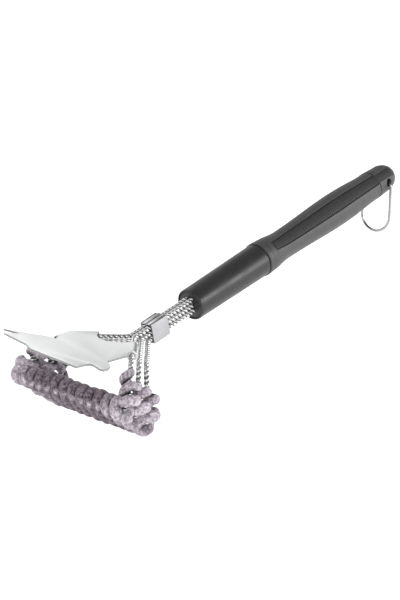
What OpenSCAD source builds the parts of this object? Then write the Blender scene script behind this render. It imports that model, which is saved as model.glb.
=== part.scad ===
// Grill cleaning brush: three coiled rows on twisted wire stems, sheet scraper, moulded handle, hanging loop.
// Frame: handle axis along Y, grip end at +Y, brush head at -Y, coils on the -Z side, X across the head.
// Origin: on the handle axis, at the open front end of the collar tube.

/* [Handle] */
// Length of the collar tube
collar_len = 91; // [80:1:110]
// Radius of the collar at its open front end
collar_front_r = 13.7; // [13.4:0.1:14.5]
// Radius of the collar where it meets the grip
collar_back_r = 15.1; // [14.6:0.1:16]
// Radius of the hollow inside the collar
collar_bore_r = 11.4; // [11:0.1:11.8]
// Radius of the flange on the front of the grip
flange_r = 15.8; // [15.2:0.1:17]
// Radius at the waist behind the flange
waist_r = 13.6; // [13:0.1:14.5]
// Radius of the swell that fills the palm
swell_r = 16.1; // [15.5:0.1:17]
// Radius where the end cap starts
cap_r = 14.3; // [14:0.1:14.6]
// Length of the grip between collar and end cap
grip_len = 177; // [170:1:200]
// Length of the rounded end cap
cap_len = 37; // [35:1:39]
// Depth of the ribbed side panels
panel_depth = 1.4; // [1:0.1:2]

/* [Wire stems] */
// Radius of one twisted rope
rope_r = 2.35; // [2.2:0.05:2.4]
// Distance between neighbouring ropes in the neck
rope_gap = 4.9; // [4.9:0.05:5]
// Bare neck between collar and ferrule
neck_len = 33; // [28:1:38]
// Length of the ferrule
ferrule_len = 19; // [14:1:22]
// Half the width of the front stem at its corners
corner_x = 60; // [55:1:65]
// How far the corners lie in front of the collar
corner_y = 140; // [135:1:145]
// Step back from one row to the next
row_step_y = 11; // [10.8:0.1:13]
// Step down from one row to the next
row_step_z = 13.7; // [13.4:0.1:14.5]

/* [Coils] */
// Outer radius of the coiled band
coil_r = 8.6; // [8:0.1:8.7]
// Thickness of the band
band_t = 2.2; // [1.8:0.1:2.6]
// Width of the band
band_w = 5.2; // [4:0.1:5.6]
// Distance from one turn to the next
coil_pitch = 9.2; // [7.5:0.1:10]

/* [Scraper] */
// Thickness of the sheet
sheet_t = 1.5; // [1:0.1:2]

/* [Hanging loop] */
// Radius of the loop's wire
wire_r = 1.35; // [1.2:0.05:1.4]
// Half the distance between the loop's two sides
loop_half_w = 15.8; // [15.8:0.1:16.4]
// Length of the loop from its pivot
loop_len = 48; // [42:1:50]
// Radius of the cross hole in the end cap
hole_r = 3.4; // [3:0.1:3.6]
// Lean of the hanging loop towards the head
loop_lean = 14; // [8:1:16]

/* [Hidden] */
$fn = 64;

grip_y = collar_len + 0.4;
cap_y = grip_y + grip_len;
tip_y = cap_y + cap_len;
spigot_len = 19;
spigot_r = collar_bore_r - 0.1;
grip_bore_r = 8;
cap_spigot_r = grip_bore_r - 0.1;
cap_spigot_len = 14;
rim_round = 2;
flange_len = 6;
waist_y = 32;
swell_y = 122;
panel_end_y = grip_len - 1;

hole_y = cap_y + 14.6;
hole_z = 0.5;
pivot_z = hole_z - (hole_r - wire_r - 0.1);
loop_corner_r = 2.6;

ferrule_y = -neck_len;
fork_y = ferrule_y - ferrule_len - 17;
fork_step = 7;
fork_bend = 4;
tail_y = 60;
ferrule_wall = 1.3;
ferrule_fit = 0.15;

shoulder = [41, -109, 17];
shoulder_step = [-1.5, 7.7, -8.2];
corner = [corner_x, -corner_y, -5];
corner_step = [-2.7, row_step_y, -row_step_z];
shoulder_bend = 8;
corner_bend = 8;
rope_sides = 10;
bend_steps = 6;

row_coil_half = 46;
leg_coil_start = 8;
leg_coil_turns = 2;
leg_coil_pitch = 11.5;
leg_coil_stack_r = 6;
leg_coil_out_r = 7.6;
leg_coil_shift = 2.2;
turn_steps = 14;

scraper_rise = atan2(shoulder[2] - rope_gap, fork_y - shoulder[1]);
clip_from = 18;
clip_to = 35.5;
clip_fit = 0.15;
clip_lift = 0.1;
clip_overhang = 0.3;

// ---- Handle ----

// Eases from a to b as t goes from 0 to 1
function ease(a, b, t) = a + (b - a) * (1 - cos(180 * t)) / 2;

// Smooth change of the grip's radius between two distances along its axis
function grip_slope(from_y, from_r, to_y, to_r, inset, steps) =
    [for (i = [1 : steps]) [ease(from_r, to_r, i / steps) - inset, from_y + (to_y - from_y) * i / steps]];

// Outline of the grip: [radius, distance along the axis]
function grip_outline(inset, steps = 10) = concat(
    [[flange_r - inset - 0.8, 0], [flange_r - inset, 0.8], [flange_r - inset, flange_len]],
    grip_slope(flange_len, flange_r, waist_y, waist_r, inset, steps),
    grip_slope(waist_y, waist_r, swell_y, swell_r, inset, steps),
    grip_slope(swell_y, swell_r, grip_len, cap_r, inset, steps)
);

// Turns a shape made about Z so that it runs along +Y from y0
module along_y(y0) {
    translate([0, y0, 0])
        rotate([-90, 0, 0])
            children();
}

module grip_solid(inset) {
    along_y(grip_y)
        rotate_extrude()
            polygon(concat([[0, 0]], grip_outline(inset), [[0, grip_len]]));
}

// The block that a side panel fills, at a given angle up from +X
module panel_block(angle) {
    translate([0, grip_y, 0])
        rotate([0, -angle, 0])
            rotate([90, 0, 90])
                linear_extrude(40)
                    polygon([[12, -4.8], [12, 4.8], [34, 5.8], [105, 7], [panel_end_y, 6],
                        [panel_end_y, -6], [105, -7], [34, -5.8]]);
}

module side_panel(angle) {
    intersection() {
        difference() {
            grip_solid(0);
            grip_solid(panel_depth);
        }
        panel_block(angle);
    }
}

module collar_tube() {
    color("#262626")
        along_y(0)
            difference() {
                rotate_extrude()
                    polygon(concat(
                        [[0, 0], [collar_front_r - rim_round, 0]],
                        [for (a = [15 : 15 : 90])
                            [collar_front_r - rim_round * (1 - sin(a)), rim_round * (1 - cos(a))]],
                        [[collar_back_r, collar_len], [0, collar_len]]));
                translate([0, 0, -1])
                    cylinder(r = collar_bore_r, h = collar_len + 2);
            }
}

module grip_body() {
    color("#2b2b2b")
        difference() {
            union() {
                difference() {
                    grip_solid(0);
                    difference() {
                        union() {
                            panel_block(45);
                            panel_block(135);
                        }
                        grip_solid(panel_depth);
                    }
                }
                along_y(grip_y - spigot_len)
                    cylinder(r = spigot_r, h = spigot_len);
            }
            along_y(grip_y - spigot_len - 1)
                cylinder(r = grip_bore_r, h = grip_len + spigot_len + 2);
        }
}

module grip_panel_right() {
    color("#1d1d1d")
        side_panel(45);
}

module grip_panel_left() {
    color("#1d1d1d")
        side_panel(135);
}

// Rounded cap with the cross hole for the hanging loop
module end_cap() {
    dome_from = 18;
    color("#2b2b2b")
        difference() {
            along_y(cap_y)
                union() {
                    rotate_extrude()
                        polygon(concat(
                            [[0, 0], [cap_r, 0]],
                            [for (i = [1 : 4]) [ease(cap_r, 13.1, i / 8), dome_from * i / 4]],
                            [for (a = [10 : 10 : 90])
                                [ease(cap_r, 13.1, 0.5) * cos(a), dome_from + (cap_len - dome_from) * sin(a)]]));
                    translate([0, 0, -cap_spigot_len])
                        cylinder(r = cap_spigot_r, h = cap_spigot_len + 1);
                }
            translate([-20, hole_y, hole_z])
                rotate([0, 90, 0])
                    cylinder(r = hole_r, h = 40);
        }
}

// ---- Neck ----

// Six rope holes, two across and three high
module rope_holes(y0, len) {
    for (x = [-0.5, 0.5], z = [-1, 0, 1])
        translate([x * rope_gap, 0, z * rope_gap])
            along_y(y0)
                cylinder(r = rope_gap / 2 - 0.01, h = len);
}

module neck_plug() {
    color("#202020")
        difference() {
            along_y(1.2)
                cylinder(r = collar_bore_r, h = 20);
            rope_holes(0, 30);
        }
}

module anchor_sleeve() {
    color("#8a8c8e")
        difference() {
            along_y(34)
                cylinder(r = collar_bore_r - 0.4, h = 24);
            rope_holes(33, 30);
        }
}

// Rectangle with round corners, exact arcs
module soft_rect(w, h, r) {
    square([w - 2 * r, h], center = true);
    square([w, h - 2 * r], center = true);
    for (x = [-1, 1], y = [-1, 1])
        translate([x * (w / 2 - r), y * (h / 2 - r)])
            circle(r);
}

module neck_ferrule() {
    inner_w = 2 * rope_gap + 2 * ferrule_fit;
    inner_h = 3 * rope_gap + 2 * ferrule_fit;
    color("#d0d2d4")
        along_y(ferrule_y - ferrule_len)
            linear_extrude(ferrule_len)
                difference() {
                    soft_rect(inner_w + 2 * ferrule_wall, inner_h + 2 * ferrule_wall, rope_r + ferrule_wall);
                    soft_rect(inner_w, inner_h, 1);
                }
}

// ---- Wire stems ----

function unit(v) = v / norm(v);

// Points of a rounded corner at b, starting and ending at most r away from it
function bend(a, b, c, r) = [for (i = [0 : bend_steps])
    let (t = i / bend_steps, p = b + unit(a - b) * r, q = b + unit(c - b) * r)
        (1 - t) * (1 - t) * p + 2 * t * (1 - t) * b + t * t * q];

function mirror_x(p) = [-p[0], p[1], p[2]];

function reversed(list) = [for (i = [len(list) - 1 : -1 : 0]) list[i]];

// Corner points of stem i, front to rear, right half only
function neck_z(i) = rope_gap * (1 - i);
function tail_point(i) = [rope_gap / 2, tail_y, neck_z(i)];
function fork_point(i) = [rope_gap / 2, fork_y + i * fork_step, neck_z(i)];
function shoulder_point(i) = shoulder + i * shoulder_step;
function corner_point(i) = corner + i * corner_step;

// Centre line of the right half of a stem, from its tail to the middle of its row
function half_path(i) = concat(
    [tail_point(i)],
    bend(tail_point(i), fork_point(i), shoulder_point(i), fork_bend),
    bend(fork_point(i), shoulder_point(i), corner_point(i), shoulder_bend),
    bend(shoulder_point(i), corner_point(i), mirror_x(corner_point(i)), corner_bend)
);

function stem_path(i) = concat(half_path(i), reversed([for (p = half_path(i)) mirror_x(p)]));

function tangent(path, i) = unit(path[min(i + 1, len(path) - 1)] - path[max(i - 1, 0)]);

// A round bar swept along a path
module bar(path, r, sides) {
    rings = [for (i = [0 : len(path) - 1])
        let (t = tangent(path, i), side = unit(cross(t, [0, 0, 1])), up = cross(side, t))
            for (k = [0 : sides - 1])
                path[i] + r * (cos(360 * k / sides) * side + sin(360 * k / sides) * up)];
    walls = [for (i = [0 : len(path) - 2], k = [0 : sides - 1])
        let (n = (k + 1) % sides, a = i * sides, b = (i + 1) * sides)
            [a + k, a + n, b + n, b + k]];
    first = [for (k = [sides - 1 : -1 : 0]) k];
    last = [for (k = [0 : sides - 1]) (len(path) - 1) * sides + k];
    polyhedron(points = rings, faces = concat(walls, [first, last]), convexity = 6);
}

module stem(i) {
    color("#b9bcbf")
        bar(stem_path(i), rope_r, rope_sides);
}

module stem_front() { stem(0); }

module stem_middle() { stem(1); }

module stem_rear() { stem(2); }

// ---- Coils ----

// One helical band about Z, starting at z = 0: rx and ry are its outer radii, shift moves its turns along Y
module helix_band(turns, start_angle, pitch, rx, ry, shift) {
    steps = round(turns * turn_steps);
    section = [[0, -band_w * 0.3], [0, band_w * 0.3], [band_t / 2, band_w / 2],
        [band_t, band_w * 0.3], [band_t, -band_w * 0.3], [band_t / 2, -band_w / 2]];
    sides = len(section);
    points = [for (i = [0 : steps], p = section)
        let (a = start_angle - 360 * i / turn_steps)
            [(rx - p[0]) * cos(a), shift + (ry - p[0]) * sin(a), p[1] + pitch * i / turn_steps]];
    walls = [for (i = [0 : steps - 1], k = [0 : sides - 1])
        let (n = (k + 1) % sides, a = i * sides, b = (i + 1) * sides)
            [a + k, b + k, b + n, a + n]];
    first = [for (k = [0 : sides - 1]) k];
    last = [for (k = [sides - 1 : -1 : 0]) steps * sides + k];
    polyhedron(points = points, faces = concat(walls, [first, last]), convexity = 10);
}

// Turns +Z towards a direction and moves to a point
module aimed(p, d) {
    translate(p)
        rotate([0, acos(unit(d)[2]), atan2(d[1], d[0])])
            children();
}

// Loose turns round the leg of stem i on one side, drawn outwards
module leg_coil(i, side) {
    start = corner_point(i) + leg_coil_start * unit(shoulder_point(i) - corner_point(i));
    heading = shoulder_point(i) - corner_point(i);
    aimed(side > 0 ? start : mirror_x(start), side > 0 ? heading : mirror_x(heading))
        helix_band(leg_coil_turns, 90, leg_coil_pitch, leg_coil_stack_r, leg_coil_out_r, -side * leg_coil_shift);
}

module coil(i) {
    c = corner_point(i);
    turns = floor(2 * row_coil_half / coil_pitch);
    color("#77707a") {
        aimed([-turns * coil_pitch / 2, c[1], c[2]], [1, 0, 0])
            helix_band(turns, 120 * i, coil_pitch, coil_r, coil_r, 0);
        leg_coil(i, 1);
        leg_coil(i, -1);
    }
}

module coil_front() { coil(0); }

module coil_middle() { coil(1); }

module coil_rear() { coil(2); }

// ---- Scraper ----

// Sideways place of the front leg, a distance w forward of the fork
function leg_u(w) = rope_gap / 2
    + w * (shoulder[0] - rope_gap / 2) / norm([shoulder[1] - fork_y, shoulder[2] - rope_gap]);

// Sheet outline as [sideways, forward of the fork], clockwise from the left clip
sheet_outline = [
    [-leg_u(clip_from), clip_from], [-13, 26], [-5, 31.5], [5, 31.5], [13, 26], [leg_u(clip_from), clip_from],
    [leg_u(clip_to), clip_to], [41, 47], [41.2, 67.5], [46.5, 70], [51.5, 74.5], [55, 80], [54.5, 84],
    [51.5, 84.5], [41.5, 81.3], [38, 81.5], [36.4, 88], [36.6, 93.5], [-17.3, 89.2], [-30, 83.6],
    [-63.2, 77.2], [-53.5, 68.5], [-72, 70], [-32, 56.7], [-25.5, 57.2], [-33, 45], [-leg_u(clip_to), clip_to]
];

// A rolled clip round one front leg, on the side given by s
module clip(s) {
    heading = atan2(leg_u(clip_to) - leg_u(clip_from), clip_to - clip_from);
    clip_r = rope_r + clip_fit;
    length = norm([leg_u(clip_to) - leg_u(clip_from), clip_to - clip_from]);
    translate([s * leg_u(clip_from), -clip_from, clip_lift - clip_r])
        rotate([0, 0, s * heading])
            rotate([90, 0, 0])
                translate([0, 0, -clip_overhang])
                    linear_extrude(length + 2 * clip_overhang)
                        difference() {
                            circle(clip_r + sheet_t);
                            circle(clip_r);
                            polygon([[-s * 0.5, 0], [-s * 12, -6], [-s * 12, 12], [-s * 0.5, 12]]);
                        }
}

module scraper() {
    color("#e0e2e3")
        translate([0, fork_y, rope_gap])
            rotate([-scraper_rise, 0, 0])
                translate([0, 0, rope_r + clip_fit])
                    union() {
                        linear_extrude(sheet_t)
                            polygon([for (p = sheet_outline) [p[0], -p[1]]]);
                        clip(1);
                        clip(-1);
                    }
}

// ---- Hanging loop ----

module wire(a, b) {
    aimed(a, b - a)
        cylinder(r = wire_r, h = norm(b - a));
}

// A bent piece of wire in the XZ plane, from angle a0 through sweep degrees
module wire_bend(centre, r, a0, sweep) {
    translate(centre)
        rotate([90, 0, 0])
            rotate([0, 0, a0])
                rotate_extrude(angle = sweep)
                    translate([r, 0])
                        circle(wire_r, $fn = 24);
}

module hanging_loop() {
    straight_x = loop_half_w - loop_corner_r;
    side_end = -(loop_len - loop_half_w);
    color("#c9ccce")
        translate([0, hole_y, pivot_z])
            rotate([-loop_lean, 0, 0])
                union() {
                    wire([-straight_x, 0, 0], [straight_x, 0, 0]);
                    for (s = [-1, 1])
                        wire([s * loop_half_w, 0, -loop_corner_r], [s * loop_half_w, 0, side_end]);
                    wire_bend([straight_x, 0, -loop_corner_r], loop_corner_r, 0, 90);
                    wire_bend([-straight_x, 0, -loop_corner_r], loop_corner_r, 90, 90);
                    wire_bend([0, 0, side_end], loop_half_w, 180, 180);
                }
}

collar_tube();
grip_body();
grip_panel_right();
grip_panel_left();
end_cap();
neck_plug();
anchor_sleeve();
neck_ferrule();
stem_front();
stem_middle();
stem_rear();
coil_front();
coil_middle();
coil_rear();
scraper();
hanging_loop();
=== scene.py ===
"""Looks of a grill cleaning brush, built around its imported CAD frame.

Frame: handle axis along Y with the grip end at +Y, coils on the -Z side, origin at the collar's open end.
Lengths in the tables of named values are millimetres; MM turns them into metres.
"""

import math
import random

import bmesh
import bpy
import numpy as np
from mathutils import Matrix, Vector


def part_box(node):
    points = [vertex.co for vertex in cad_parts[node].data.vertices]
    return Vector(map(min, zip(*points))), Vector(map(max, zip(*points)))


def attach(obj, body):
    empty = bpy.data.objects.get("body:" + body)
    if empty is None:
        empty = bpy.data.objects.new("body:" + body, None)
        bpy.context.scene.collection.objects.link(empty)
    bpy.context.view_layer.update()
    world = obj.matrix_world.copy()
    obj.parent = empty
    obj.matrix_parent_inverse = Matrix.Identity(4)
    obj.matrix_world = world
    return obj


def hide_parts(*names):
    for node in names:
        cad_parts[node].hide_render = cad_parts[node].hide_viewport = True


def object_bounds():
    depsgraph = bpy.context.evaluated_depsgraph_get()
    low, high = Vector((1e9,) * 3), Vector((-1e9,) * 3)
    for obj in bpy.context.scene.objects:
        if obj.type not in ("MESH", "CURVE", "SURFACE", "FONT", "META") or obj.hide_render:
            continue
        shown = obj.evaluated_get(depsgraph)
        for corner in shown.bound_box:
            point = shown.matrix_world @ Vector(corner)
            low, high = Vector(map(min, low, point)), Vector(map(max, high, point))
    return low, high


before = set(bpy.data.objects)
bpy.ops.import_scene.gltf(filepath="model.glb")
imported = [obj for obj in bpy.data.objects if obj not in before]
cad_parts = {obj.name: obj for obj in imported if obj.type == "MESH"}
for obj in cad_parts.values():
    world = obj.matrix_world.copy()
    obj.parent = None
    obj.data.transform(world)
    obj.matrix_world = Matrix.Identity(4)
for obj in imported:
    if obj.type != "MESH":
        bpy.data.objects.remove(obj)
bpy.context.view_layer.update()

MM = 0.001


# ---------------------------------------------------------------- dimensions

def node_box(node):
    """Corners of a CAD node in millimetres."""
    low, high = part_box(node)
    return np.array(low) / MM, np.array(high) / MM


# Handle, along Y
_, COLLAR_HIGH = node_box("collar_tube")
COLLAR_LEN = COLLAR_HIGH[1]
COLLAR_FRONT_R, COLLAR_BACK_R, COLLAR_BORE_R, PLUG_R = 13.7, COLLAR_HIGH[0], 11.4, 11.9
_, CAP_HIGH = node_box("end_cap")
TIP_Y = CAP_HIGH[1]
CAP_LEN, CAP_DOME_Y = 37, 19
CAP_Y = TIP_Y - CAP_LEN
GRIP_Y = COLLAR_LEN + 0.4
GRIP_LEN = CAP_Y - GRIP_Y
FLANGE_R, WAIST_R, SWELL_R, CAP_R, CAP_DOME_R = 15.8, 13.6, 16.1, 14.3, 13.7
FLANGE_Y, WAIST_Y, SWELL_Y = 6, 32, 122
GRIP_BORE_R, GRIP_SPIGOT_LEN, CAP_SPIGOT_LEN, SPIGOT_PLAY = 8, 19, 14, 0.1
HOLE_Y, HOLE_Z, HOLE_R = CAP_Y + 14.6, 0.5, 3.4
HOLE_WORN = 0.3
PANEL_ANGLES = (45, 135)
PANEL_DEPTH = 1.3
PANEL_FROM, PANEL_TO = 12.4, GRIP_LEN - 1.6
PANEL_WIDTHS = ((12, 4.8), (34, 5.8), (105, 7), (GRIP_LEN - 1, 6), (GRIP_LEN + 19, 6.2))
RIB_PITCH, RIB_HEIGHT = 2.6, 0.62
CAP_RIB_PITCH, CAP_RIBS_FROM, CAP_RIBS_TO = 2.3, 1.2, 28
EDGE_DROP, EDGE_RUN = 1.2, 0.9  # rounding of the edges at the seam between grip and cap

# Wire stems: half of each centre line, front, middle and rear
ROPE_R, ROPE_GAP, ROPE_LAY, STRANDS = 2.4, 4.9, 8.2, 2
STRAND_R = 1.32
TAIL_Y = 60
FERRULE_LOW, FERRULE_HIGH = node_box("neck_ferrule")
FORK_Y, FORK_STEP = FERRULE_LOW[1] - 17, 7
FORK_BEND, SHOULDER_BEND, CORNER_BEND = 4, 8, 8
SHOULDER, SHOULDER_STEP = np.array([41, -109, 17.0]), np.array([-1.5, 7.7, -8.2])
CORNER, CORNER_STEP = np.array([60, -140, -5.0]), np.array([-2.7, 11, -13.7])

# Coiled mesh bands: one band along each stem, from one leg over the row to the other leg
ROW_PITCH, ROW_CORE_R, ROW_HALF_W, ROW_HALF_T = 9.2, 6.0, 4.3, 3.3
LEG_REACH, LEG_PITCH, LEG_STACK_R, LEG_OUT_R, LEG_SHIFT = (29, 24.5, 24), 11.5, 4.8, 6.3, 1.4
LEG_HALF_W, LEG_HALF_T = 3.5, 2.8
FIRST_FINGER = 7.5
LEG_EASE, CORNER_SPREAD = 7, 7  # distances over which the leg's and the corner's shape fades in
MESH_STEP = 0.225

# Scraper: crease between plate and blade, across and along the sheet
FOLD_LINE = ((-15.1, 57), (33, 69.9))
FOLD_HALF_W, FOLD_DEPTH = 0.7, 0.95

# Hanging loop
WIRE_R, LOOP_HALF_W, LOOP_CORNER_R, LOOP_LEN, LOOP_LEAN = 1.35, 15.8, 2.6, 48, 14
PIVOT_Z = HOLE_Z - (HOLE_R - WIRE_R - 0.1)


# ---------------------------------------------------------------- small helpers

def ease(a, b, t):
    """A smooth change from a to b as t goes from 0 to 1."""
    return a + (b - a) * (1 - math.cos(math.pi * min(max(t, 0), 1))) / 2


def unit(v):
    return v / np.linalg.norm(v)


def unit_rows(vectors):
    return vectors / np.linalg.norm(vectors, axis=1)[:, None]


def piecewise(x, points):
    """Straight-line reading of a short list of (x, value)."""
    return float(np.interp(x, [p[0] for p in points], [p[1] for p in points]))


def make_piece(name, points, faces, slot, body, replaces, uvs=None):
    """A mesh piece from points in millimetres, riding on a CAD body in place of CAD nodes."""
    mesh = bpy.data.meshes.new(name)
    mesh.from_pydata([tuple(p * MM) for p in np.asarray(points, float)], [], faces)
    mesh.validate()
    if uvs is not None:
        layer = mesh.uv_layers.new(name="along_round")
        corner_points = np.zeros(len(mesh.loops), int)
        mesh.loops.foreach_get("vertex_index", corner_points)
        layer.data.foreach_set("uv", np.asarray(uvs, float)[corner_points].ravel())
    obj = bpy.data.objects.new(name, mesh)
    bpy.context.scene.collection.objects.link(obj)
    mesh.materials.append(MATERIALS[slot])
    mesh.shade_smooth()
    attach(obj, body)
    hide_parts(*replaces)
    return obj


def grid_faces(rows, cols, wrap=True, start=0):
    """Quads between rows of points; wrap joins each row's end to its start."""
    faces = []
    last = cols if wrap else cols - 1
    for i in range(rows - 1):
        a, b = start + i * cols, start + (i + 1) * cols
        for k in range(last):
            n = (k + 1) % cols
            faces.append((a + k, a + n, b + n, b + k))
    return faces


def disc(centre_index, ring, flip=False):
    """A fan of triangles from a centre point to a closed ring of points."""
    faces = [(centre_index, ring[k], ring[(k + 1) % len(ring)]) for k in range(len(ring))]
    return [f[::-1] for f in faces] if flip else faces


def tidy_normals(mesh):
    """Turns all faces of a closed mesh to face outwards."""
    bm = bmesh.new()
    bm.from_mesh(mesh)
    bmesh.ops.recalc_face_normals(bm, faces=bm.faces)
    bm.to_mesh(mesh)
    bm.free()


def paint_points(obj, name, values):
    """Stores one value per point for a material to read."""
    attribute = obj.data.attributes.new(name, "FLOAT", "POINT")
    attribute.data.foreach_set("value", np.asarray(values, np.float32))


def apply_modifiers(obj):
    """Bakes the modifiers of a piece into its mesh."""
    bpy.context.view_layer.update()
    graph = bpy.context.evaluated_depsgraph_get()
    mesh = bpy.data.meshes.new_from_object(obj.evaluated_get(graph))
    obj.modifiers.clear()
    obj.data = mesh


# ---------------------------------------------------------------- materials

class Nodes:
    """A small wrapper that keeps shader building short."""

    def __init__(self, name, colour, metallic, roughness):
        self.material = bpy.data.materials.new(name)
        self.material.use_nodes = True
        self.tree = self.material.node_tree
        self.shader = self.tree.nodes["Principled BSDF"]
        self.shader.inputs["Base Color"].default_value = (*colour, 1)
        self.shader.inputs["Metallic"].default_value = metallic
        self.shader.inputs["Roughness"].default_value = roughness

    def add(self, kind, **settings):
        node = self.tree.nodes.new(kind)
        for key, value in settings.items():
            if key in node.inputs:
                node.inputs[key].default_value = value
            else:
                setattr(node, key, value)
        return node

    def link(self, source, target):
        self.tree.links.new(source, target)

    def coordinates(self, kind="Object", scale=(1, 1, 1)):
        source = self.add("ShaderNodeTexCoord")
        mapping = self.add("ShaderNodeMapping")
        mapping.inputs["Scale"].default_value = scale
        self.link(source.outputs[kind], mapping.inputs["Vector"])
        return mapping.outputs["Vector"]

    def noise(self, vector, scale, detail=4.0, roughness=0.55):
        node = self.add("ShaderNodeTexNoise")
        node.inputs["Scale"].default_value = scale
        node.inputs["Detail"].default_value = detail
        node.inputs["Roughness"].default_value = roughness
        self.link(vector, node.inputs["Vector"])
        return node.outputs["Fac"]

    def spread(self, source, low, high, from_low=0.3, from_high=0.7):
        """Maps a 0 to 1 value to a range."""
        node = self.add("ShaderNodeMapRange")
        node.inputs["From Min"].default_value = from_low
        node.inputs["From Max"].default_value = from_high
        node.inputs["To Min"].default_value = low
        node.inputs["To Max"].default_value = high
        self.link(source, node.inputs["Value"])
        return node.outputs["Result"]

    def blend(self, source, first, second):
        """A colour between two, chosen by a value."""
        node = self.add("ShaderNodeMix", data_type="RGBA")
        node.inputs[6].default_value = (*first, 1)
        node.inputs[7].default_value = (*second, 1)
        self.link(source, node.inputs["Factor"])
        return node.outputs[2]

    def mix(self, source, first, second):
        """A blend of two colour outputs."""
        node = self.add("ShaderNodeMix", data_type="RGBA")
        self.link(source, node.inputs["Factor"])
        self.link(first, node.inputs[6])
        self.link(second, node.inputs[7])
        return node.outputs[2]

    def attribute(self, name):
        return self.add("ShaderNodeAttribute", attribute_name=name).outputs["Fac"]

    def shade(self, colour, source, dark, amount):
        """Multiplies a colour by a tint that fades out as source rises from 0 to 1."""
        node = self.add("ShaderNodeMix", data_type="RGBA", blend_type="MULTIPLY")
        node.inputs["Factor"].default_value = amount
        self.link(colour, node.inputs[6])
        self.link(self.blend(source, dark, (1, 1, 1)), node.inputs[7])
        return node.outputs[2]

    def bump(self, height, strength, distance, normal=None):
        node = self.add("ShaderNodeBump")
        node.inputs["Strength"].default_value = strength
        node.inputs["Distance"].default_value = distance
        self.link(height, node.inputs["Height"])
        if normal is not None:
            self.link(normal, node.inputs["Normal"])
        return node.outputs["Normal"]

    def wave(self, vector, scale, direction="X", distortion=0.0):
        node = self.add("ShaderNodeTexWave", bands_direction=direction)
        node.inputs["Scale"].default_value = scale
        node.inputs["Distortion"].default_value = distortion
        self.link(vector, node.inputs["Vector"])
        return node.outputs["Fac"]

    def set(self, **links):
        names = {"colour": "Base Color", "roughness": "Roughness", "normal": "Normal"}
        for key, socket in links.items():
            self.link(socket, self.shader.inputs[names[key]])
        return self.material


def moulded_plastic(name, dark, light, roughness, grain, groove_shaded=False):
    """Black moulded plastic: fine spark-eroded grain, slight cloudiness and rubbed spots, and on request
    painted shade in grooves, seams and recesses.
    """
    n = Nodes(name, dark, 0, roughness)
    n.shader.inputs["Specular IOR Level"].default_value = 0.45
    at = n.coordinates()
    cloud = n.noise(at, 38, 3)
    fine = n.noise(at, 1900, 2)
    rub = n.noise(at, 120, 5)
    colour = n.blend(cloud, dark, light)
    # Painted shade: darkens the colour where the painted attribute is low, in grooves, seams and recesses.
    if groove_shaded:
        colour = n.shade(colour, n.attribute("unshaded"), (0.1, 0.1, 0.1), 1.0)
    normal = n.bump(fine, grain, 0.00012)
    return n.set(colour=colour, roughness=n.spread(rub, roughness - 0.06, roughness + 0.08), normal=normal)


def ribbed_rubber():
    """Matt rubber insert: painted shade in the grooves and along the edges, paler rib tops, a fine skin and a
    little dust.
    """
    n = Nodes("grip_rubber", (0.03, 0.03, 0.031), 0, 0.68)
    n.shader.inputs["Specular IOR Level"].default_value = 0.35
    at = n.coordinates()
    cloud = n.noise(at, 60, 4)
    skin = n.noise(at, 2600, 2)
    colour = n.blend(cloud, (0.05, 0.05, 0.051), (0.08, 0.08, 0.081))
    # Painted shade in the grooves between ribs and along the insert's edges.
    colour = n.shade(colour, n.attribute("unshaded"), (0.08, 0.08, 0.08), 1.0)
    return n.set(colour=colour, roughness=n.spread(cloud, 0.5, 0.7), normal=n.bump(skin, 0.35, 0.0001))


def drawn_wire(name, dark, light, roughness, grooved=False):
    """Bright drawn wire: faint die lines along the strand, uneven shine, painted shade in the grooves between
    strands.
    """
    n = Nodes(name, light, 1, roughness)
    along = n.coordinates("UV")
    at = n.coordinates()
    lines = n.wave(along, 2.2, "Y", 1.5)
    patches = n.noise(at, 240, 4)
    colour = n.blend(patches, dark, light)
    # Painted shade in the grooves between strands.
    if grooved:
        colour = n.shade(colour, n.attribute("outward"), (0.035, 0.035, 0.037), 1.0)
    return n.set(
        colour=colour,
        roughness=n.spread(patches, roughness - 0.07, roughness + 0.1),
        normal=n.bump(lines, 0.12, 0.00004))


def knitted_mesh():
    """Knitted wire mesh: crossing wires, painted shade in the folds and below, pale at the ends, painted
    highlights between turns.
    """
    n = Nodes("mesh_steel", (0.3, 0.27, 0.3), 0.2, 0.5)
    along = n.coordinates("UV")
    at = n.coordinates()
    wires_a = n.wave(along, 0.5, "X", 4.0)
    wires_b = n.wave(along, 0.42, "DIAGONAL", 5.0)
    crossing = n.add("ShaderNodeMath", operation="MAXIMUM")
    n.link(wires_a, crossing.inputs[0])
    n.link(wires_b, crossing.inputs[1])
    speckle = n.spread(n.noise(at, 430, 5, 0.78), 0, 1, 0.41, 0.59)
    deep = n.blend(speckle, (0.016, 0.008, 0.013), (0.32, 0.235, 0.285))
    bright = n.blend(speckle, (0.36, 0.28, 0.36), (1.0, 0.95, 1.0))
    # Paler towards the ends and up the legs; painted shade darkens the lower side a little.
    colour = n.mix(n.attribute("pale"), deep, bright)
    colour = n.shade(colour, crossing.outputs[0], (0.4, 0.36, 0.4), 0.6)
    # Painted shade on the faces turned inwards and below.
    folds = n.spread(n.attribute("outward"), 0, 1, 0.45, 0.86)
    colour = n.shade(colour, folds, (0.05, 0.035, 0.05), 0.97)
    # Painted highlight between turns.
    colour = n.mix(n.attribute("highlight_sliver"), colour, bright)
    return n.set(
        colour=colour, roughness=n.spread(speckle, 0.4, 0.62),
        normal=n.bump(crossing.outputs[0], 0.9, 0.0005))


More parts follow.
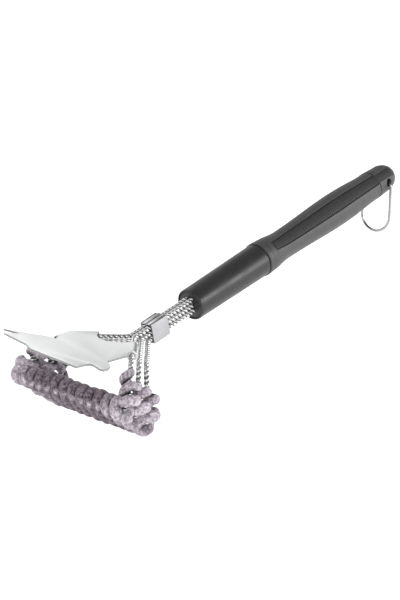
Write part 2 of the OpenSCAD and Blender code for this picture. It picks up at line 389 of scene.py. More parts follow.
def brushed_sheet(name, dark, light, roughness, grain_axis, edges=False):
    """Rolled stainless sheet: long fine grain, faint scratches, cloudiness, perhaps painted shade on the cut
    edges and in the crease.
    """
    n = Nodes(name, light, 1, roughness)
    stretch = [900, 900, 900]
    stretch[grain_axis] = 18
    grain = n.noise(n.coordinates(scale=tuple(stretch)), 1.0, 3)
    cloud = n.noise(n.coordinates(), 45, 3)
    scratches = n.noise(n.coordinates(scale=(260, 40, 260)), 1.0, 6, 0.7)
    colour = n.blend(cloud, dark, light)
    # Painted shade on the faces marked as edges and crease walls.
    if edges:
        edge_unshaded = n.spread(n.attribute("edge_shade"), 1, 0, 0, 1)
        colour = n.shade(colour, edge_unshaded, (0.42, 0.42, 0.42), 1.0)
    fine = n.bump(grain, 0.10, 0.00003)
    return n.set(
        colour=colour, roughness=n.spread(grain, roughness - 0.06, roughness + 0.08),
        normal=n.bump(scratches, 0.05, 0.00003, fine))


MATERIALS = {
    "black_plastic": moulded_plastic("black_plastic", (0.02, 0.02, 0.021), (0.028, 0.028, 0.029), 0.36, 0.16),
    "grip_plastic": moulded_plastic(
        "grip_plastic", (0.055, 0.055, 0.056), (0.072, 0.072, 0.073), 0.48, 0.3, groove_shaded=True),
    "grip_rubber": ribbed_rubber(),
    "wire_rope": drawn_wire("wire_rope", (0.55, 0.55, 0.55), (0.8, 0.8, 0.8), 0.26, grooved=True),
    "loop_wire": drawn_wire("loop_wire", (0.3, 0.3, 0.31), (0.52, 0.52, 0.53), 0.14),
    "mesh_steel": knitted_mesh(),
    "sheet_steel": brushed_sheet("sheet_steel", (0.4, 0.4, 0.41), (0.52, 0.52, 0.53), 0.32, 1),
    "scraper_steel": brushed_sheet(
        "scraper_steel", (0.84, 0.85, 0.85), (0.9, 0.91, 0.91), 0.5, 0, edges=True),
}


# ---------------------------------------------------------------- swept tubes

def resample(path, step):
    """Points at even distances along a path."""
    path = np.asarray(path, float)
    lengths = np.concatenate([[0], np.cumsum(np.linalg.norm(np.diff(path, axis=0), axis=1))])
    at = np.linspace(0, lengths[-1], max(2, int(round(lengths[-1] / step)) + 1))
    return np.stack([np.interp(at, lengths, path[:, k]) for k in range(3)], axis=1), at


def carried_frames(path, up=(0, 0, 1)):
    """Tangent and two normals at each point, turned along the path without twisting."""
    tangents = unit_rows(np.gradient(path, axis=0))
    side = unit(np.cross(tangents[0], up))
    sides = []
    for t in tangents:
        side = unit(side - t * side.dot(t))
        sides.append(side)
    sides = np.array(sides)
    return tangents, sides, np.cross(tangents, sides)


def tube(centres, sides, ups, radius, facets):
    """Points, faces and UVs (millimetres along, millimetres round) of a round tube with closed ends."""
    count = len(centres)
    angles = np.linspace(0, 2 * math.pi, facets, endpoint=False)
    rings = centres[:, None] + radius * (
        np.cos(angles)[None, :, None] * sides[:, None] + np.sin(angles)[None, :, None] * ups[:, None])
    points = np.concatenate([rings.reshape(-1, 3), centres[:1], centres[-1:]])
    run = np.concatenate([[0], np.cumsum(np.linalg.norm(np.diff(centres, axis=0), axis=1))])
    uvs = np.stack([np.repeat(run, facets), np.tile(angles * radius, count)], axis=1)
    uvs = np.concatenate([uvs, [[run[0], 0], [run[-1], 0]]])
    faces = [f[::-1] for f in grid_faces(count, facets)]
    faces += disc(count * facets, list(range(facets)))
    faces += disc(count * facets + 1, list(range((count - 1) * facets, count * facets)), flip=True)
    return points, faces, uvs


def joined(parts):
    """Several (points, faces, uvs) in one."""
    points, faces, uvs, start = [], [], [], 0
    for p, f, u in parts:
        points.append(p)
        uvs.append(u)
        faces += [tuple(i + start for i in face) for face in f]
        start += len(p)
    return np.concatenate(points), faces, np.concatenate(uvs)


# ---------------------------------------------------------------- wire stems

def bend(a, b, c, reach, steps=12):
    """Rounded corner at b, starting and ending a distance reach from it."""
    p, q = b + unit(a - b) * reach, b + unit(c - b) * reach
    return [(1 - t) ** 2 * p + 2 * t * (1 - t) * b + t * t * q for t in np.linspace(0, 1, steps)]


def flipped(p):
    return np.array([-p[0], p[1], p[2]])


def stem_points(i):
    """Fork, shoulder and corner of stem i, on its right side."""
    z = ROPE_GAP * (1 - i)
    fork = np.array([ROPE_GAP / 2, FORK_Y + i * FORK_STEP, z])
    return fork, SHOULDER + i * SHOULDER_STEP, CORNER + i * CORNER_STEP


def half_path(i, first):
    """Centre line from a starting point on the right tail round to the middle of the row."""
    fork, shoulder, corner = stem_points(i)
    tail = np.array([ROPE_GAP / 2, first, fork[2]])
    return [tail, *bend(tail, fork, shoulder, FORK_BEND), *bend(fork, shoulder, corner, SHOULDER_BEND),
            *bend(shoulder, corner, flipped(corner), CORNER_BEND)]


def stem_path(i):
    """Whole centre line of stem i, from the right tail to the left one."""
    right = half_path(i, TAIL_Y)
    return right + [flipped(p) for p in reversed(right)]


def twisted_rope(i, name):
    """Round strands laid round each other along the stem, with painted shade in the grooves between them."""
    centre, run = resample(stem_path(i), 0.5)
    _, sides, ups = carried_frames(centre)
    offset = ROPE_R - STRAND_R
    facets = 12
    parts = []
    for k in range(STRANDS):
        turn = 2 * math.pi * (run / ROPE_LAY + k / STRANDS) + 0.9 * i
        strand = centre + offset * (np.cos(turn)[:, None] * sides + np.sin(turn)[:, None] * ups)
        _, s, u = carried_frames(strand)
        parts.append(tube(strand, s, u, STRAND_R, facets))
    points, faces, uvs = joined(parts)
    rope = make_piece(name + "_rope", points, faces, "wire_rope", "brush", [name], uvs=uvs)
    cores = np.concatenate([np.repeat(centre, facets, axis=0), centre[:1], centre[-1:]])
    outward = np.linalg.norm(points - np.tile(cores, (STRANDS, 1)), axis=1) / ROPE_R
    # Painted shade: points nearer the rope's core, in the grooves, are painted darker.
    paint_points(rope, "outward", np.clip((outward - 0.56) / 0.34, 0, 1))


ROWS = ("front", "middle", "rear")
for index, row in enumerate(ROWS):
    twisted_rope(index, "stem_" + row)


# ---------------------------------------------------------------- coiled mesh bands

def wobble(count, waves, amount, chance):
    """A smooth random variation along a coil, round 1."""
    t = np.linspace(0, 1, count)
    total = np.zeros(count)
    for _ in range(5):
        total += np.sin(2 * math.pi * (chance.uniform(0.4, 1) * waves * t + chance.random()))
    return 1 + amount * total / 2.5


def mesh_path(i):
    """Centre line of stem i between the mesh's ends, and how far up a leg each point lies (0 on the row)."""
    _, shoulder, corner = stem_points(i)
    reach = LEG_REACH[i]
    right = [corner + reach * unit(shoulder - corner), *bend(shoulder, corner, flipped(corner), CORNER_BEND)]
    centre, run = resample(right + [flipped(p) for p in reversed(right)], MESH_STEP)
    up_leg = np.clip(np.maximum(reach - run, run - run[-1] + reach), 0, None)
    return centre, run, up_leg


def stem_directions(i, centre):
    """Along the stem's path, away from its triangle, and square to the triangle's plane."""
    _, shoulder, corner = stem_points(i)
    normal = unit(np.cross(corner - shoulder, [1.0, 0, 0]))
    tangent = unit_rows(np.gradient(centre, axis=0))
    outer = np.cross(normal, tangent)
    outer *= np.sign(outer[len(centre) // 2].dot(corner - shoulder))
    return tangent, outer, normal


def nearness_to_corner(i, centre):
    """A value of 1 at the stem's two corners, fading to 0 away from them."""
    corner = stem_points(i)[2]
    mirrored = np.abs(centre) * [1, 0, 0] + centre * [0, 1, 1]
    return np.exp(-(np.linalg.norm(mirrored - corner, axis=1) / CORNER_SPREAD) ** 2)


def turns_along(i, run, on_leg, at_corner):
    """Number of turns so far, and the angle round the stem, at each point of its path."""
    pitch = (ROW_PITCH + (LEG_PITCH - ROW_PITCH) * on_leg) * (1 - 0.35 * at_corner)
    turns = np.concatenate([[0], np.cumsum(np.diff(run) / pitch[1:])])
    first = np.interp(LEG_REACH[i] - FIRST_FINGER, run, turns)
    return turns, 2 * math.pi * (turns - first)


def swept_band(core, across, out, half_w, half_t, facets):
    """Points and faces of a closed band with an oval section, and the section's angles, cosines and sines."""
    count = len(core)
    around = np.linspace(0, 2 * math.pi, facets, endpoint=False)
    cos_a, sin_a = np.cos(around), np.sin(around)
    rings = (core[:, None] + across[:, None] * (half_w[:, None] * cos_a)[..., None]
             + out[:, None] * (half_t[:, None] * sin_a)[..., None])
    points = np.concatenate([rings.reshape(-1, 3), core[:1], core[-1:]])
    faces = grid_faces(count, facets)
    faces += disc(count * facets, list(range(facets)), flip=True)
    faces += disc(count * facets + 1, list(range((count - 1) * facets, count * facets)))
    return points, faces, around, cos_a, sin_a


def paint_coil(coil, i, centre, up_leg, radial, cos_a, sin_a):
    """Marks where the mesh is pale, where shade is painted on the faces folded away from the light and below,
    and where a highlight is painted between turns.
    """
    count, facets = len(centre), len(cos_a)
    fold = np.tile(0.5 + 0.5 * sin_a, count)
    distance = np.repeat(np.abs(centre[:, 0]) / (CORNER[0] + i * CORNER_STEP[0]), facets)
    lower = np.repeat(np.clip(-radial[:, 2], 0, 1), facets)
    middle = np.repeat(np.clip(1.15 - np.abs(radial[:, 2] - 0.1) / 0.3, 0, 1), facets)
    high = np.repeat(np.clip((up_leg - 20) / 8, 0, 1), facets)
    # Paler towards the corners and high on the legs; painted shade makes the lower side a little darker.
    pale = 0.16 + np.clip((distance - 0.6) / 0.35, 0, 1) * 0.9 - 0.12 * lower + 0.4 * high
    # Painted highlight: a bright strip on one side of each turn near mid-height.
    highlight_sliver = middle * np.clip((0.99 - fold) / 0.07, 0, 1) * np.tile(cos_a > 0, count)
    # Painted shade on faces turned inwards and on the lower side, lifted near the corners so their hollows
    # stay pale.
    lit = np.maximum(fold * (1 - 0.3 * lower), 0.86 * np.clip((distance - 0.82) / 0.12, 0, 1))
    for attribute, values in (("pale", pale), ("outward", lit), ("highlight_sliver", highlight_sliver)):
        paint_points(coil, attribute, np.clip(np.concatenate([values, [0.5, 0.5]]), 0, 1))


def mesh_coil(i, name):
    """A soft band wound left-handed round a stem: close turns on the row, looser fingers on the legs."""
    chance = random.Random(20 + i)
    centre, run, up_leg = mesh_path(i)
    count = len(run)
    on_leg = np.clip(up_leg / LEG_EASE, 0, 1)
    at_corner = nearness_to_corner(i, centre)
    tangent, outer, normal = stem_directions(i, centre)
    turns, angle = turns_along(i, run, on_leg, at_corner)

    loose = wobble(count, turns[-1] * 2, 0.045, chance)
    bulge = 1.5 * at_corner * np.clip(np.cos(angle), 0, 1)
    out_r = (ROW_CORE_R + (LEG_OUT_R - ROW_CORE_R) * on_leg) * loose - bulge
    flat_r = (ROW_CORE_R + (LEG_STACK_R - ROW_CORE_R) * on_leg) * loose
    radial = np.cos(angle)[:, None] * outer + np.sin(angle)[:, None] * normal
    core = centre + (LEG_SHIFT * on_leg + out_r * np.cos(angle))[:, None] * outer
    core += (flat_r * np.sin(angle))[:, None] * normal
    core += (0.9 * (wobble(count, turns[-1] * 1.6, 1, chance) - 1) * np.cos(angle + 1))[:, None] * tangent

    along = unit_rows(np.gradient(core, axis=0))
    out = unit_rows(radial - along * np.sum(radial * along, axis=1)[:, None])
    across = np.cross(along, out)
    ridge = 1 + 0.045 * np.sin(2 * math.pi * turns * 34) + 0.03 * wobble(count, turns[-1] * 11, 1, chance)
    tip = np.clip(np.minimum(run, run[-1] - run) / 1.6, 0, 1)
    tip = 0.1 + 0.9 * np.sqrt(1 - (1 - tip) ** 2)
    half_w = (ROW_HALF_W + 1.6 * bulge + (LEG_HALF_W - ROW_HALF_W) * on_leg) * ridge * tip
    half_w = half_w * wobble(count, turns[-1] * 3.1, 0.06, chance)
    half_t = (ROW_HALF_T + bulge + (LEG_HALF_T - ROW_HALF_T) * on_leg) * ridge * tip
    half_t = half_t * wobble(count, turns[-1] * 3.7, 0.08, chance)
    points, faces, around, cos_a, sin_a = swept_band(core, across, out, half_w, half_t, facets=18)

    length = turns * 2 * math.pi * ROW_CORE_R
    uvs = np.stack([np.repeat(length, len(around)), np.tile(around * 3.9, count)], axis=1)
    uvs = np.concatenate([uvs, [[0, 0], [length[-1], 0]]])
    coil = make_piece(name + "_mesh", points, faces, "mesh_steel", "brush", [name], uvs=uvs)
    tidy_normals(coil.data)
    paint_coil(coil, i, centre, up_leg, radial, cos_a, sin_a)


for index, row in enumerate(ROWS):
    mesh_coil(index, "coil_" + row)


# ---------------------------------------------------------------- handle

def grip_radius(y):
    """Radius of the grip a distance y behind its front face."""
    if y < FLANGE_Y:
        return FLANGE_R - 0.8 * max(0, 1 - y / 0.8)
    if y < WAIST_Y:
        return ease(FLANGE_R, WAIST_R, (y - FLANGE_Y) / (WAIST_Y - FLANGE_Y))
    if y < SWELL_Y:
        return ease(WAIST_R, SWELL_R, (y - WAIST_Y) / (SWELL_Y - WAIST_Y))
    return ease(SWELL_R, CAP_R, (y - SWELL_Y) / (GRIP_LEN - SWELL_Y))


def cap_radius(y):
    """Radius of the end cap a distance y behind its front face."""
    if y < CAP_DOME_Y:
        return ease(CAP_R, CAP_DOME_R, y / CAP_DOME_Y)
    return CAP_DOME_R * math.sqrt(max(0, 1 - ((y - CAP_DOME_Y) / (CAP_LEN - CAP_DOME_Y)) ** 2))


def panel_half_angle(y, radius):
    """Half the angle that a side panel takes up, seen along the handle."""
    return math.degrees(math.asin(min(0.9, piecewise(y, PANEL_WIDTHS) / max(radius, 1))))


def zone_angles(half, bottom=44, floor=12, wall=2, top=18):
    """Angles round the handle that follow both panels' edges, and how far inside a panel each one lies."""
    right, left = PANEL_ANGLES
    soft = 2.2

    def across_panel(middle):
        low, high = middle - half, middle + half
        rise, fall = (low, low + soft, wall, 0, 1), (high - soft, high, wall, 1, 0)
        return [rise, (low + soft, high - soft, floor, 1, 1), fall]

    zones = [(left + half - 360, right - half, bottom, 0, 0), *across_panel(right)]
    zones += [(right + half, left - half, top, 0, 0), *across_panel(left)]
    angles, inside = [], []
    for low, high, count, first, last in zones:
        for k in range(count):
            angles.append(low + (high - low) * k / count)
            inside.append(first + (last - first) * k / count)
    return angles, inside


def handle_rings(rows, radius_at, depth_at, y0):
    """Rings of points round the Y axis, sunk by depth_at where a panel lies."""
    rings = []
    for y in rows:
        radius = radius_at(y)
        angles, inside = zone_angles(panel_half_angle(y, radius))
        depth = depth_at(y)
        for angle, share in zip(angles, inside):
            r = radius - depth * share
            rings.append((r * math.cos(math.radians(angle)), y0 + y, r * math.sin(math.radians(angle))))
    return rings, len(angles)


def closed_shell(name, rings, cols, rows, inner, slot, replaces):
    """Outer rings, then inner (radius, y) circles back to the first ring, as one closed skin."""
    start_angles = [math.atan2(rings[k][2], rings[k][0]) for k in range(cols)]
    points = list(rings)
    for radius, y in inner:
        points += [(radius * math.cos(a), y, radius * math.sin(a)) for a in start_angles]
    total = rows + len(inner)
    faces = grid_faces(total, cols)
    last = (total - 1) * cols
    faces += [(last + k, last + (k + 1) % cols, (k + 1) % cols, k) for k in range(cols)]
    return make_piece(name, np.array(points), faces, slot, "brush", replaces)


def make_grip():
    """Grip with a rounded flange, two panel recesses, an open bore and the spigot that enters the collar."""
    rows = [0, 0.25, 0.8, 1.5, 3, 4.8, 5.2, 5.4, 5.6, 6.2] + list(np.arange(7, 11.6, 0.9)) + [12, 12.5]
    rows += list(np.arange(14, GRIP_LEN - 3, 2)) + [GRIP_LEN - back for back in (1.8, 1.4, 0.9, 0.6, 0.35, 0)]

    def radius(y):
        edge = EDGE_DROP * max(0, (y - (GRIP_LEN - EDGE_RUN)) / EDGE_RUN) ** 2
        step = piecewise(y, [(5.2, 0), (5.6, 0.55), (9, 0.35), (16, 0)])
        return grip_radius(y) - edge - step

    def depth(y):
        return PANEL_DEPTH if PANEL_FROM <= y <= PANEL_TO else 0

    rings, cols = handle_rings(rows, radius, depth, GRIP_Y)
    spigot_r, spigot_y = COLLAR_BORE_R - SPIGOT_PLAY, GRIP_Y - GRIP_SPIGOT_LEN
    inner = [(GRIP_BORE_R, CAP_Y), (GRIP_BORE_R, spigot_y), (spigot_r, spigot_y), (spigot_r, GRIP_Y)]
    grip = closed_shell("grip_body_shell", rings, cols, len(rows), inner, "grip_plastic", ["grip_body"])
    # Painted shade: darker at the front face, under the flange step, at the seam with the cap, in the panel
    # recesses and in the bore.
    dark_at = [(0, 0.4), (0.8, 1), (5.2, 1), (5.5, 0.3), (7, 1), (GRIP_LEN - 0.9, 1), (GRIP_LEN - 0.4, 0)]
    unshaded = []
    for y in rows:
        _, inside = zone_angles(panel_half_angle(y, radius(y)))
        ends = piecewise(y, dark_at)
        unshaded += [ends * (1 - share if depth(y) else 1) for share in inside]
    paint_points(grip, "unshaded", unshaded + [0.3] * (cols * len(inner)))


def make_panel(angle, name):
    """One cross-ribbed insert, lying just under the grip's surface in its recess."""
    y0, y1 = PANEL_FROM + 0.5, PANEL_TO - 0.3
    steps = int((y1 - y0) / RIB_PITCH * 8)
    cols = 13
    points, crests = [], []
    for y in np.linspace(y0, y1, steps):
        radius = grip_radius(y)
        half = panel_half_angle(y, radius) - 1.6
        rib = 0.5 + 0.5 * math.cos(2 * math.pi * (y - y0) / RIB_PITCH)
        rib = rib ** 0.7
        for k in range(cols):
            share = -1 + 2 * k / (cols - 1)
            crown = 1 - abs(share) ** 6
            r = radius - 0.95 + RIB_HEIGHT * rib * crown - 0.15 * (1 - crown)
            a = math.radians(angle + half * share)
            points.append((r * math.cos(a), GRIP_Y + y, r * math.sin(a)))
            crests.append(rib * crown)
    faces = grid_faces(steps, cols, wrap=False)
    count = len(points)
    points += [tuple(np.array(p) * [0.93, 1, 0.93]) for p in points]
    faces += [tuple(i + count for i in f[::-1]) for f in grid_faces(steps, cols, wrap=False)]
    rim = list(range(cols)) + [i * cols + cols - 1 for i in range(1, steps)]
    rim += [(steps - 1) * cols + k for k in range(cols - 2, -1, -1)]
    rim += [i * cols for i in range(steps - 2, 0, -1)]
    for this, following in zip(rim, rim[1:] + rim[:1]):
        faces.append((following, this, this + count, following + count))
    panel = make_piece(name + "_ribs", np.array(points), faces, "grip_rubber", "brush", [name])
    # Painted shade in the grooves between ribs and along the insert's edges.
    paint_points(panel, "unshaded", crests + crests)


def make_cap():
    """Ribbed cap with a domed end, the spigot that enters the grip, and the cross hole."""
    dome = CAP_LEN - CAP_DOME_Y
    rows = [0, 0.35, 0.9] + list(np.arange(1.2, CAP_DOME_Y, 0.34))
    rows += [CAP_DOME_Y + dome * math.sin(math.radians(a)) for a in np.arange(0, 88, 1.6)]

    def radius(y):
        edge = EDGE_DROP * max(0, (EDGE_RUN - y) / EDGE_RUN) ** 2
        return max(0.3, cap_radius(y) - edge)

    def depth(y):
        fade = piecewise(y, [(0.8, 0), (1.6, 1), (23, 1), (29, 0)])
        return fade * (0.4 + 0.3 * math.cos(2 * math.pi * y / CAP_RIB_PITCH))

    rings, cols = handle_rings(rows, radius, depth, CAP_Y)
    tip = len(rings)
    start_angles = [math.atan2(rings[k][2], rings[k][0]) for k in range(cols)]
    points = rings + [(0, TIP_Y, 0)]
    spigot_r, spigot_y = GRIP_BORE_R - SPIGOT_PLAY, CAP_Y - CAP_SPIGOT_LEN
    for y in (CAP_Y, spigot_y):
        points += [(spigot_r * math.cos(a), y, spigot_r * math.sin(a)) for a in start_angles]
    points.append((0, spigot_y, 0))
    faces = grid_faces(len(rows), cols)
    faces += disc(tip, list(range((len(rows) - 1) * cols, len(rows) * cols)))
    ring_a, ring_b = tip + 1, tip + 1 + cols
    for k in range(cols):
        n = (k + 1) % cols
        faces.append((k, ring_a + k, ring_a + n, n))
        faces.append((ring_a + k, ring_b + k, ring_b + n, ring_a + n))
    faces += disc(ring_b + cols, list(range(ring_b, ring_b + cols)), flip=True)
    cap = make_piece("end_cap_shell", np.array(points), faces, "grip_plastic", "brush", ["end_cap"])
    # Painted shade in the rib grooves, strongest in line with the panels, at the seam with the grip and on
    # the spigot.
    unshaded = []
    for y in rows:
        _, inside = zone_angles(panel_half_angle(y, radius(y)))
        groove = 0.5 - 0.5 * math.cos(2 * math.pi * y / CAP_RIB_PITCH)
        seam = piecewise(y, [(0.4, 0), (0.9, 1)])
        ribbed = CAP_RIBS_FROM < y < CAP_RIBS_TO
        unshaded += [seam * (1 - (0.25 + 0.7 * share) * (1 - groove) * ribbed) for share in inside]
    paint_points(cap, "unshaded", unshaded + [1] + [0.3] * (2 * cols + 1))
    drill = cross_hole_tool()
    cut = cap.modifiers.new("cross_hole", "BOOLEAN")
    cut.operation, cut.object, cut.solver = "DIFFERENCE", drill, "EXACT"
    apply_modifiers(cap)
    bpy.data.objects.remove(drill)
    split_sharp(cap, 40)


def cross_hole_tool():
    """The shape that the cross hole removes: a drill with a slightly flared mouth each side."""
    facets = 48
    mouth = [(18, HOLE_R + 2.4), (13.2, HOLE_R + 0.45), (12.2, HOLE_R + HOLE_WORN)]
    profile = [(-x, r) for x, r in mouth] + mouth[::-1]
    points = []
    for x, r in profile:
        for k in range(facets):
            a = 2 * math.pi * k / facets
            points.append((x, HOLE_Y + r * math.cos(a), HOLE_Z + r * math.sin(a)))
    count = len(profile)
    points += [(profile[0][0], HOLE_Y, HOLE_Z), (profile[-1][0], HOLE_Y, HOLE_Z)]
    faces = grid_faces(count, facets)
    faces += disc(count * facets, list(range(facets)), flip=True)
    faces += disc(count * facets + 1, list(range((count - 1) * facets, count * facets)))
    mesh = bpy.data.meshes.new("drill")
    mesh.from_pydata([tuple(np.array(p) * MM) for p in points], [], faces)
    obj = bpy.data.objects.new("drill", mesh)
    bpy.context.scene.collection.objects.link(obj)
    tidy_normals(mesh)
    return obj


def split_sharp(obj, degrees):
    """Smooth shading that breaks at edges sharper than an angle."""
    mesh = obj.data
    tidy_normals(mesh)
    mesh.shade_smooth()
    mesh.set_sharp_from_angle(angle=math.radians(degrees))


def turned(name, profile, slot, node, facets=128):
    """A ring-shaped solid from (radius, y) points turned round the handle's axis."""
    angles = [2 * math.pi * k / facets for k in range(facets)]
    points = []
    for r, y in profile:
        points += [(r * math.cos(a), y, r * math.sin(a)) for a in angles]
    faces = grid_faces(len(profile), facets)
    last = (len(profile) - 1) * facets
    faces += [(last + k, last + (k + 1) % facets, (k + 1) % facets, k) for k in range(facets)]
    obj = make_piece(name, np.array(points), faces, slot, "brush", [node])
    split_sharp(obj, 50)


def make_collar():
    """Collar tube: thin rounded rim, slightly tapered wall, open bore."""
    rim = 1.7
    wall = COLLAR_BACK_R - COLLAR_FRONT_R
    profile = [(PLUG_R + 0.15, 0.9), (PLUG_R + 0.25, 0.1)]
    for a in range(15, 91, 9):
        turn = math.radians(a)
        profile.append((COLLAR_FRONT_R - rim * (1 - math.sin(turn)) * 0.7, rim * (1 - math.cos(turn))))
    for t in np.linspace(0.02, 0.985, 24):
        profile.append((COLLAR_FRONT_R + wall * t, rim + (COLLAR_LEN - rim) * t))
    profile += [(COLLAR_BACK_R - 0.1, COLLAR_LEN - 0.5), (COLLAR_BACK_R - 0.55, COLLAR_LEN)]
    profile += [(COLLAR_BORE_R, COLLAR_LEN), (COLLAR_BORE_R, 9), (PLUG_R + 0.15, 8.6)]
    turned("collar_tube_shell", profile, "black_plastic", "collar_tube")


def make_plug():
    """Plug whose flat face closes the collar, moulded round the ropes."""
    face = [(0.4, 0.55), (PLUG_R - 1.2, 0.5), (PLUG_R - 0.35, 0.6), (PLUG_R, 1.0)]
    profile = face + [(PLUG_R, 8.2), (0.4, 8.2)]
    turned("neck_plug_face", profile, "black_plastic", "neck_plug")


make_plug()
make_collar()
make_grip()
make_panel(PANEL_ANGLES[0], "grip_panel_right")
make_panel(PANEL_ANGLES[1], "grip_panel_left")
make_cap()
for shell in ("grip_body_shell", "grip_panel_right_ribs", "grip_panel_left_ribs"):
    split_sharp(bpy.data.objects[shell], 42)


# ---------------------------------------------------------------- sheet metal

def cad_copy(node, name, slot):
    """A piece made from a copy of a CAD part's mesh, with its flat faces joined up."""
    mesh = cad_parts[node].data.copy()
    mesh.name = name
    bm = bmesh.new()
    bm.from_mesh(mesh)
    bmesh.ops.remove_doubles(bm, verts=bm.verts, dist=1e-6)
    bmesh.ops.dissolve_limit(bm, angle_limit=math.radians(1.5), verts=bm.verts, edges=bm.edges)
    bm.to_mesh(mesh)
    bm.free()
    obj = bpy.data.objects.new(name, mesh)
    bpy.context.scene.collection.objects.link(obj)
    mesh.materials.clear()
    mesh.materials.append(MATERIALS[slot])
    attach(obj, "brush")
    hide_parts(node)
    return obj


def sheet_frame():
    """A point on the scraper's plane and its across, along and normal directions."""
    fork, shoulder, _ = stem_points(0)
    rise = math.atan2(shoulder[2] - fork[2], fork[1] - shoulder[1])
    along = np.array([0, -math.cos(rise), math.sin(rise)])
    across = np.array([1.0, 0, 0])
    return np.array([0, fork[1], fork[2]]), across, along, np.cross(along, across)


def press_fold(obj):
    """Presses the crease between plate and blade into the scraper."""
    start, across, along, up = sheet_frame()
    place = start + (ROPE_R + 0.8) * up
    first, last = (place + u * across + w * along for u, w in FOLD_LINE)
    direction = unit(last - first)
    side = unit(np.cross(direction, up))
    bm = bmesh.new()
    bm.from_mesh(obj.data)
    for offset in (-FOLD_HALF_W, 0, FOLD_HALF_W):
        geometry = bm.verts[:] + bm.edges[:] + bm.faces[:]
        bmesh.ops.bisect_plane(bm, geom=geometry, plane_co=(first + offset * side) * MM, plane_no=side)
    length = np.linalg.norm(last - first)
    for vert in bm.verts:
        p = np.array(vert.co) / MM
        on_line = abs((p - first).dot(side)) < 0.2 and -3 < (p - first).dot(direction) < length + 1
        if on_line and (p - place).dot(up) > 0:
            vert.co -= Vector(FOLD_DEPTH * up * MM)
    bm.to_mesh(obj.data)
    bm.free()


def mark_cut_edges(obj):
    """Marks for painted shade the faces that stand steeply to the sheet: its thickness, its bevels and the
    walls of the crease.
    """
    start, _, _, up = sheet_frame()
    mesh = obj.data
    values = []
    for face in mesh.polygons:
        height = (np.array(face.center) / MM - start).dot(up)
        tilt = abs(np.array(face.normal).dot(up))
        values.append(piecewise(tilt, [(0.93, 1), (0.97, 0)]) if height > ROPE_R - 0.2 else 0)
    attribute = mesh.attributes.new("edge_shade", "FLOAT", "FACE")
    attribute.data.foreach_set("value", values)


def make_scraper():
    """Scraper cut from the CAD sheet, with a pressed crease and broken edges."""
    scraper = cad_copy("scraper", "scraper_sheet", "scraper_steel")
    press_fold(scraper)
    bevel = scraper.modifiers.new("edges", "BEVEL")
    bevel.width, bevel.segments = 0.2 * MM, 2
    bevel.limit_method, bevel.angle_limit = "ANGLE", math.radians(35)
    apply_modifiers(scraper)
    # Painted shade on the scraper's edges and in its crease.
    mark_cut_edges(scraper)
    split_sharp(scraper, 30)


def ferrule_outline(inset):
    """Cross-section of the crimped band: flat sides, two rounded ridges on top and below, rolled corners."""
    half, top, bottom = FERRULE_HIGH[0] - inset, FERRULE_HIGH[2] - inset, FERRULE_LOW[2] + inset
    ridge_at, ridge_half, depth = ROPE_GAP / 2, half - ROPE_GAP / 2 - 0.9, 1.5

    def crown(x):
        bump = 1 - ((abs(x) - ridge_at) / ridge_half) ** 2
        edge = 0.75 if abs(x) > half - 0.8 else 0
        return max(depth * math.sqrt(max(0, bump)), edge * depth) - depth

    across = [half - 0.15] + list(np.linspace(half - 0.35, -half + 0.35, 61)) + [-half + 0.15]
    upper = [(x, top + crown(x)) for x in across]
    lower = [(-x, bottom - crown(x)) for x in across]
    right = [(half, z) for z in np.linspace(bottom + 1.1, top - 1.1, 5)]
    left = [(-x, z) for x, z in reversed(right)]
    return right + upper + left + lower


def make_ferrule():
    """Crimped band of sheet round the six rope tails."""
    y0, y1, wall = FERRULE_LOW[1], FERRULE_HIGH[1], 0.7
    rolled = [(0.35, 0), (0.12, 0.12), (0, 0.4)]
    profile = [(r, y0 + y) for r, y in rolled] + [(r, y1 - y) for r, y in reversed(rolled)]
    profile += [(wall, y1), (wall, y0)]
    points = []
    for inset, y in profile:
        points += [(x, y, z) for x, z in ferrule_outline(inset)]
    count = len(points) // len(profile)
    faces = grid_faces(len(profile), count)
    last = (len(profile) - 1) * count
    faces += [(last + k, last + (k + 1) % count, (k + 1) % count, k) for k in range(count)]
    band = make_piece("neck_ferrule_band", np.array(points), faces, "sheet_steel", "brush", ["neck_ferrule"])
    split_sharp(band, 35)


make_ferrule()
make_scraper()


# ---------------------------------------------------------------- hanging loop

def make_loop():
    """Closed loop of round wire, hanging from its straight top run in the cross hole."""
    straight = LOOP_HALF_W - LOOP_CORNER_R
    side_end = -(LOOP_LEN - LOOP_HALF_W)

    def arc(x, z, r, first, last, count):
        angles = np.radians(np.linspace(first, last, count))
        return [np.array([x + r * math.cos(a), 0, z + r * math.sin(a)]) for a in angles]

    path = [np.array([0, 0, 0])]
    path += arc(straight, -LOOP_CORNER_R, LOOP_CORNER_R, 90, 0, 14)
    path += arc(0, side_end, LOOP_HALF_W, 0, -180, 60)
    path += arc(-straight, -LOOP_CORNER_R, LOOP_CORNER_R, 180, 90, 14)
    path += [np.array([-0.05, 0, 0])]
    lean = math.radians(LOOP_LEAN)
    hung = [np.array([p[0], HOLE_Y + p[2] * math.sin(lean), PIVOT_Z + p[2] * math.cos(lean)]) for p in path]
    centre, _ = resample(hung, 0.7)
    _, sides, ups = carried_frames(centre, up=(0, 1, 0))
    points, faces, uvs = tube(centre, sides, ups, WIRE_R, 16)
    make_piece("hanging_loop_wire", points, faces, "loop_wire", "loop", ["hanging_loop"], uvs=uvs)


make_loop()

# Inner sleeve: the CAD part as it is, with a detailed finish
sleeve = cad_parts["anchor_sleeve"]
sleeve.data.materials.clear()
sleeve.data.materials.append(MATERIALS["sheet_steel"])


# ---------------------------------------------------------------- camera, light and floor

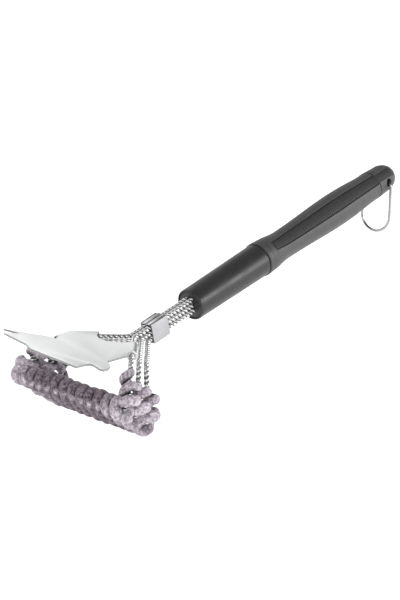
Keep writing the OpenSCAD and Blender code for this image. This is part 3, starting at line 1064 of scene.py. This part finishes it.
def camera_axes(azimuth, elevation, roll):
    """Right, up and back directions of a camera seen from azimuth, measured from -Y towards +X."""
    az, el, ro = (math.radians(v) for v in (azimuth, elevation, roll))
    back = np.array([math.sin(az) * math.cos(el), -math.cos(az) * math.cos(el), math.sin(el)])
    right = np.array([math.cos(az), math.sin(az), 0])
    up = np.cross(back, right)
    return (math.cos(ro) * right + math.sin(ro) * up, -math.sin(ro) * right + math.cos(ro) * up, back)


def add_camera():
    """Camera above and in front of the head, tilted as in the fitted view."""
    right, up, back = camera_axes(45, 26.5, -9.5)
    place = 8.5 * right + 4.4 * up + 967 * back
    data = bpy.data.cameras.new("camera")
    data.lens = 70
    data.sensor_width = 36
    data.clip_start, data.clip_end = 0.01, 20
    camera = bpy.data.objects.new("camera", data)
    bpy.context.scene.collection.objects.link(camera)
    matrix = np.eye(4)
    matrix[:3, 0], matrix[:3, 1], matrix[:3, 2], matrix[:3, 3] = right, up, back, place * MM
    camera.matrix_world = Matrix(matrix.tolist())
    bpy.context.scene.camera = camera


def add_area_light(name, place, aim, size, power):
    data = bpy.data.lights.new(name, "AREA")
    data.shape, data.size, data.size_y, data.energy = "RECTANGLE", size[0], size[1], power
    light = bpy.data.objects.new(name, data)
    bpy.context.scene.collection.objects.link(light)
    light.location = place
    light.rotation_euler = (Vector(aim) - Vector(place)).to_track_quat("-Z", "Y").to_euler()


def add_floor():
    """Pale plain floor that glows slightly, so that the ground stays white round the object."""
    floor_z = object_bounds()[0][2] - 0.0004
    size = 6.0
    mesh = bpy.data.meshes.new("floor")
    corners = [(-size, -size, floor_z), (size, -size, floor_z), (size, size, floor_z), (-size, size, floor_z)]
    mesh.from_pydata(corners, [], [(0, 1, 2, 3)])
    floor = bpy.data.objects.new("floor", mesh)
    bpy.context.scene.collection.objects.link(floor)
    paint = Nodes("floor_paint", (0.93, 0.93, 0.93), 0, 0.9)
    speckle = paint.noise(paint.coordinates(), 30, 2)
    paint.shader.inputs["Emission Color"].default_value = (1, 1, 1, 1)
    paint.shader.inputs["Emission Strength"].default_value = 0.7
    paint.set(colour=paint.blend(speckle, (0.925, 0.925, 0.925), (0.935, 0.935, 0.935)))
    mesh.materials.append(paint.material)


def add_world():
    """Studio surroundings: white near the ground, dimmer overhead."""
    world = bpy.data.worlds.new("studio")
    world.use_nodes = True
    tree = world.node_tree
    direction = tree.nodes.new("ShaderNodeTexCoord")
    split = tree.nodes.new("ShaderNodeSeparateXYZ")
    fade = tree.nodes.new("ShaderNodeValToRGB")
    for stop, position, brightness in zip(fade.color_ramp.elements, (0.08, 0.5), (1, 0.3)):
        stop.position = position
        stop.color = (brightness, brightness, brightness, 1)
    tree.links.new(direction.outputs["Generated"], split.inputs["Vector"])
    tree.links.new(split.outputs["Z"], fade.inputs["Fac"])
    tree.links.new(fade.outputs["Color"], tree.nodes["Background"].inputs["Color"])
    bpy.context.scene.world = world


add_camera()
add_floor()
add_world()
add_area_light("key", (-0.95, 0.3, 1.05), (0, -0.05, 0), (1.1, 1.1), 6)
add_area_light("fill", (0.9, -0.9, 0.9), (0, 0, 0), (0.9, 0.9), 7)
add_area_light("strip", (0.76, 0.72, 0.16), (0, 0.06, 0), (0.6, 0.3), 4)
bpy.context.scene.view_settings.view_transform = "Standard"
